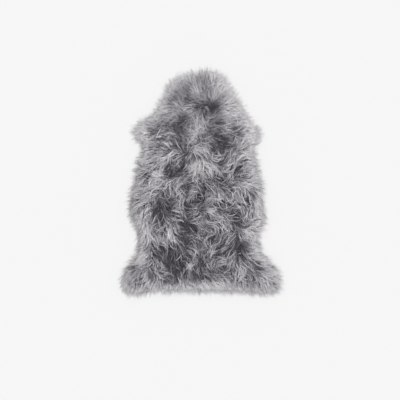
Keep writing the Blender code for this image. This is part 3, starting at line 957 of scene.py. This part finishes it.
    def tones(self, x, y, tone):
        """How pale each wisp is at its stations: it has a shade of its own, and painted shade makes it darker
        over a hollow.
        """
        pile, settings = self.pile, self.settings
        middle = len(self.stations) // 2
        spread = settings.wisp_tone * self.shade_spread(x[:, middle], y[:, middle])
        own = tone + spread * self.chance.normal(0.0, 1.0, len(x))
        x = x + SHADE_CARRY * (x[:, middle, None] - x)
        y = y + SHADE_CARRY * (y[:, middle, None] - y)
        inside = pile.read(pile.inside, x, y)
        shade = settings.tone + self.layer.tone
        # painted shade: darker colour over the hollows of the fleece's relief
        shade = shade + settings.hollow_painted_shade * pile.read(pile.relief, x, y) / HOLLOW_DEPTH
        # painted light: paler colour towards the rim
        shade += settings.rim_painted_light * np.exp(-np.maximum(inside + OVERHANG, 0) / settings.rim_width)
        # painted shade: darker colour in a band between the rim and the middle, for the hollows there
        shade -= settings.flank_painted_shade * np.exp(-(((inside - FLANK_IN) / FLANK_WIDTH) ** 2))
        # painted light and shade of the soft patches
        shade += settings.patch_light_and_shade * pile.read(pile.shade, x, y)
        return np.maximum(shade, LEAST_SHADE) + own[:, None]


def halfway(one, other):
    """The heading half way between two headings."""
    return np.arctan2(np.sin(one) + np.sin(other), np.cos(one) + np.cos(other))


def nearest(x, y, other_x, other_y):
    """For each point, the number of the nearest of the other points."""
    tree = KDTree(len(other_x))
    for k, (a, b) in enumerate(zip(other_x, other_y)):
        tree.insert((a, b, 0.0), k)
    tree.balance()
    return np.array([tree.find((a, b, 0.0))[1] for a, b in zip(x, y)])


def grow_layer(settings, layer, names):
    """Grows a layer of wool as one piece, or as several that follow each other from tail to neck."""
    centres, widths, tones = Wool(pile_map(), settings, layer).grow()
    order = np.argsort(centres[:, 0, 1], kind="stable")
    for name, part in zip(names, np.array_split(order, len(names))):
        mesh = wool_mesh(name, layer.stations, centres[part], widths[part], tones[part])
        add_piece(name, mesh, wool_material(settings), "fleece")


# Settings.


def length(name, description, default, least=0.0):
    return FloatProperty(
        name=name, description=description, default=default, min=least, subtype="DISTANCE", unit="LENGTH"
    )


def angle(name, description, degrees):
    return FloatProperty(
        name=name, description=description, default=math.radians(degrees), subtype="ANGLE", unit="ROTATION"
    )


def share(name, description, default, least=0.0, most=1.0):
    return FloatProperty(
        name=name, description=description, default=default, min=least, max=most, subtype="FACTOR"
    )


def number(name, description, default):
    return FloatProperty(name=name, description=description, default=default)


def colour(name, description, default):
    return FloatVectorProperty(
        name=name, description=description, default=default, min=0.0, max=1.0, subtype="COLOR"
    )


class SheepskinWoolSettings(PropertyGroup):
    lock_width: length("Lock Width", "How far a lock's wisps stand from its middle at the root", 2.5 * MM)
    lock_gather: share("Lock Gather", "How far a lock's wisps have come together at its tip", 0.5)
    lock_turn: angle("Lock Turn", "How unruly the locks' headings are", 17)
    lock_bend: angle("Lock Bend", "How much the locks' curves differ", 16)
    crimp: length("Crimp", "How far a lock waves to either side", 12 * MM)
    stray: length("Stray", "How far a wisp's tip strays from its lock", 1.9 * MM)
    droop: length("Droop", "How far the tips hang down", 6 * MM)
    tuft_spacing: length("Tuft Spacing", "The way from one tuft to the next", 29 * MM, least=8 * MM)
    tuft_turn: angle("Tuft Turn", "How unruly the tufts' headings are", 17)
    tuft_bend: angle("Tuft Bend", "How much the tufts curl to a side", 16)
    tuft_gather: share("Tuft Gather", "How far a tuft's locks lean together at their tips", 0.3)
    tuft_lift: share("Tuft Lift", "How much the tufts differ in height, as a share of it", 0.06)
    tone: number("Tone", "The wool's shade, 0 dark to 1 pale", 0.322)
    # painted shade: the hollows are coloured darker for the shade that falls in them
    hollow_painted_shade: number("Hollow Tone", "How much darker the hollows are for each 10 mm", 0.55)
    # painted light: the rim's wool is coloured paler for the floor's light through its thin wool and on its
    # tips, fading in over the rim width
    rim_painted_light: number("Rim Tone", "How much paler the rim's wool is", 1.4)
    rim_width: length("Rim Width", "How far in the rim's pale wool fades", 38 * MM, least=1 * MM)
    # painted shade: a darker band between the rim and the middle, for the hollows there
    flank_painted_shade: number("Flank Tone", "How much darker the wool is between the rim and the middle", 0.12)
    # painted shade: the locks deep in the pile are coloured darker for the shade down there
    depth_painted_shade: number("Depth Tone", "How much paler the top of the pile is than its depth", 0.32)
    tuft_tone: number("Tuft Tone", "How much the tufts differ in shade", 0.12)
    # painted light and shade: paler colour at a tuft's front, darker at its back
    tuft_painted_slope: number("Tuft Slope", "How much paler the front of a tuft is than its back", 0.22)
    # painted light and shade: the strength of the patches' paler and darker colour
    patch_light_and_shade: number("Patch Tone", "How strongly the paler and darker patches show", 0.84)
    lock_tone: number("Lock Tone", "How much the locks differ in shade", 0.26)
    wisp_tone: number("Wisp Tone", "How much the wisps differ in shade", 0.2)
    # The middle colour is the wool's own; painted shade takes it down towards the dark colour in hollows,
    # depth and roots, and painted light up towards the pale one at the rim and tuft fronts, besides the
    # wisps' random tones.
    dark_colour: colour("Dark Colour", "The wool's colour in the hollows", (0.045, 0.040, 0.052))
    middle_colour: colour("Middle Colour", "The wool's colour over most of the pelt", (0.397, 0.376, 0.420))
    pale_colour: colour("Pale Colour", "The wool's colour at its palest tips", (0.864, 0.845, 0.868))


class SheepskinHideSettings(PropertyGroup):
    suede_colour: colour("Suede Colour", "The colour of the hide's flesh side", (0.40, 0.375, 0.35))
    edge_round: length("Edge Round", "How far the hide's cut edge is rounded", 0.5 * MM)
    undercoat_share: share(
        "Undercoat Share", "How much of the pile's height the undercoat fills", 0.62, least=0.1, most=0.9
    )


class SheepskinStageSettings(PropertyGroup):
    view_width: length("View Width", "How much floor the camera sees from side to side", 1.6)
    view_middle: FloatVectorProperty(
        name="View Middle",
        description="The point of the floor at the middle of the camera's view",
        size=2,
        default=(-3.2 * MM, -69.9 * MM),
        subtype="XYZ",
        unit="LENGTH",
    )
    lens: FloatProperty(name="Lens", description="The camera's focal length", default=100.0, unit="CAMERA")
    floor_colour: colour("Floor Colour", "The colour of the floor", (0.60, 0.60, 0.60))
    sky: number("Sky", "The strength of the even light from all round", 0.65)
    key: number("Key", "The strength of the soft light from overhead", 2.87)


# Operators.


class SHEEPSKIN_OT_stage(Operator):
    """Sets up the floor, the lights and the camera straight above the rug"""

    bl_idname = "sheepskin.stage"
    bl_label = "Lay the Floor"

    def execute(self, context):
        settings = context.scene.sheepskin_stage
        shape = bmesh.new()
        bmesh.ops.create_grid(shape, x_segments=1, y_segments=1, size=FLOOR_REACH)
        mesh = new_mesh("floor", shape)
        mesh.materials.append(floor_material(settings))
        floor = add_object("floor", mesh)
        floor.location.z = -FLOOR_DROP

        lens = bpy.data.cameras.new("camera")
        lens.lens = settings.lens
        lens.clip_end = 2 * FLOOR_REACH
        camera = add_object("camera", lens)
        camera.location = (*settings.view_middle, settings.view_width * settings.lens / lens.sensor_width)
        context.scene.camera = camera

        world = bpy.data.worlds.new("studio")
        world.use_nodes = True
        light = {"Color": (1.0, 1.0, 1.0, 1.0), "Strength": settings.sky}
        fill_inputs(world.node_tree, world.node_tree.nodes["Background"], light)
        context.scene.world = world

        lamp = bpy.data.lights.new("key", "SUN")
        lamp.energy = settings.key
        lamp.angle = SUN_SIZE
        add_object("key", lamp).rotation_euler = SUN_TURN
        context.scene.view_settings.view_transform = "Standard"
        return {"FINISHED"}


class SHEEPSKIN_OT_hide(Operator):
    """Cuts the hide, a suede sheet with a softly rounded edge"""

    bl_idname = "sheepskin.hide"
    bl_label = "Cut the Hide"

    def execute(self, context):
        settings = context.scene.sheepskin_hide
        ring = pile_map().edge
        shape = bmesh.new()
        base = shape.faces.new([shape.verts.new((x, y, 0.0)) for x, y in ring])
        base.normal_update()
        if base.normal.z > 0:
            base.normal_flip()
        bmesh.ops.translate(shape, verts=extruded(shape, [base]), vec=(0.0, 0.0, HIDE_TOP))
        rims = [e for e in shape.edges if abs(e.verts[0].co.z - e.verts[1].co.z) < SAME_HEIGHT]
        bmesh.ops.bevel(
            shape,
            geom=rims,
            offset=settings.edge_round,
            affect="EDGES",
            segments=2,
            profile=0.5,
            material=-1,
        )
        mesh = smooth_mesh("hide_suede", shape)
        mesh.set_sharp_from_angle(angle=HIDE_SHARP)
        hide = add_piece("hide_suede", mesh, suede_material(settings), "hide")
        return {"FINISHED"}


class SHEEPSKIN_OT_undercoat(Operator):
    """Fills the lower part of the pile with matted undercoat"""

    bl_idname = "sheepskin.undercoat"
    bl_label = "Fill in the Undercoat"

    def execute(self, context):
        settings = context.scene.sheepskin_hide
        pile = pile_map()
        shape = bmesh.new()
        span = np.ptp(pile.edge, axis=0) + 4 * COAT_CELL
        columns, rows = (span / COAT_CELL).astype(int)
        bmesh.ops.create_grid(shape, x_segments=int(columns), y_segments=int(rows), size=0.5)
        middle = (pile.edge.max(0) + pile.edge.min(0)) / 2
        bmesh.ops.scale(shape, verts=shape.verts, vec=(*span, 1.0))
        bmesh.ops.translate(shape, verts=shape.verts, vec=(*middle, 0.0))

        def inside_of(verts):
            return pile.read(pile.inside, *np.array([v.co[:2] for v in verts]).T) + COAT_REACH

        verts = list(shape.verts)
        outer = [v for v, inside in zip(verts, inside_of(verts)) if inside < COAT_SNAP * COAT_CELL]
        bmesh.ops.delete(shape, geom=outer, context="VERTS")
        rim = [v for v in shape.verts if v.is_boundary]
        for _ in range(2):  # once would leave the rim a little off its place
            for vert, inside in zip(rim, inside_of(rim)):
                x, y = np.array([vert.co.x]), np.array([vert.co.y])
                vert.co.x += inside * pile.read(pile.out_x, x, y)[0]
                vert.co.y += inside * pile.read(pile.out_y, x, y)[0]
        bmesh.ops.smooth_vert(
            shape, verts=rim, factor=0.5, use_axis_x=True, use_axis_y=True, use_axis_z=False
        )
        top = extruded(shape, list(shape.faces))
        foot = HIDE_TOP + COAT_GAP
        bmesh.ops.translate(shape, verts=shape.verts, vec=(0.0, 0.0, foot))
        height = pile.read(pile.height, *np.array([v.co[:2] for v in top]).T)
        for vert, high, inside in zip(top, height, inside_of(top)):
            round_off = math.sin(min(inside / COAT_SLOPE, 1.0) * math.pi / 2)
            vert.co.z = foot + COAT_LEAST + max(0.0, settings.undercoat_share * high - foot) * round_off
        mesh = smooth_mesh("undercoat", shape)
        add_piece("undercoat", mesh, undercoat_material(context.scene.sheepskin_wool), "fleece")
        return {"FINISHED"}


class SHEEPSKIN_OT_down(Operator):
    """Grows the short down, which lies all ways over the undercoat"""

    bl_idname = "sheepskin.down"
    bl_label = "Grow the Down"

    def execute(self, context):
        grow_layer(context.scene.sheepskin_wool, DOWN, ["wool_down"])
        return {"FINISHED"}


class SHEEPSKIN_OT_long_wool(Operator):
    """Grows the long wool over the pelt, in one piece for each part of it"""

    bl_idname = "sheepskin.long_wool"
    bl_label = "Grow the Long Wool"

    def execute(self, context):
        grow_layer(context.scene.sheepskin_wool, LONG_WOOL, LONG_WOOL_PARTS)
        return {"FINISHED"}


class SHEEPSKIN_OT_rim_wool(Operator):
    """Combs out the finer wool that hangs over the hide's edge"""

    bl_idname = "sheepskin.rim_wool"
    bl_label = "Comb Out the Rim"

    def execute(self, context):
        grow_layer(context.scene.sheepskin_wool, RIM_WOOL, ["wool_rim"])
        return {"FINISHED"}


class SHEEPSKIN_PT_rug(Panel):
    """Lists the rug's pieces and their settings"""

    bl_idname = "SHEEPSKIN_PT_rug"
    bl_label = "Sheepskin Rug"
    bl_space_type = "VIEW_3D"
    bl_region_type = "UI"
    bl_category = "Sheepskin"

    def draw(self, context):
        for operator, group in STEPS:
            box = self.layout.box()
            box.operator(operator.bl_idname)
            settings = getattr(context.scene, group)
            for name in settings.__annotations__:
                box.prop(settings, name)


STEPS = (
    (SHEEPSKIN_OT_stage, "sheepskin_stage"),
    (SHEEPSKIN_OT_hide, "sheepskin_hide"),
    (SHEEPSKIN_OT_undercoat, "sheepskin_hide"),
    (SHEEPSKIN_OT_down, "sheepskin_wool"),
    (SHEEPSKIN_OT_long_wool, "sheepskin_wool"),
    (SHEEPSKIN_OT_rim_wool, "sheepskin_wool"),
)
SETTINGS = {
    "sheepskin_wool": SheepskinWoolSettings,
    "sheepskin_hide": SheepskinHideSettings,
    "sheepskin_stage": SheepskinStageSettings,
}
CLASSES = (*SETTINGS.values(), *(operator for operator, _ in STEPS), SHEEPSKIN_PT_rug)


def register():
    for cls in CLASSES:
        bpy.utils.register_class(cls)
    for name, group in SETTINGS.items():
        setattr(bpy.types.Scene, name, PointerProperty(type=group))


def unregister():
    for name in SETTINGS:
        delattr(bpy.types.Scene, name)
    for cls in reversed(CLASSES):
        bpy.utils.unregister_class(cls)


def main():
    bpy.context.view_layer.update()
    register()
    bpy.ops.sheepskin.stage()
    bpy.ops.sheepskin.hide()
    bpy.ops.sheepskin.undercoat()
    bpy.ops.sheepskin.down()
    bpy.ops.sheepskin.long_wool()
    bpy.ops.sheepskin.rim_wool()


if __name__ == "__main__":
    main()
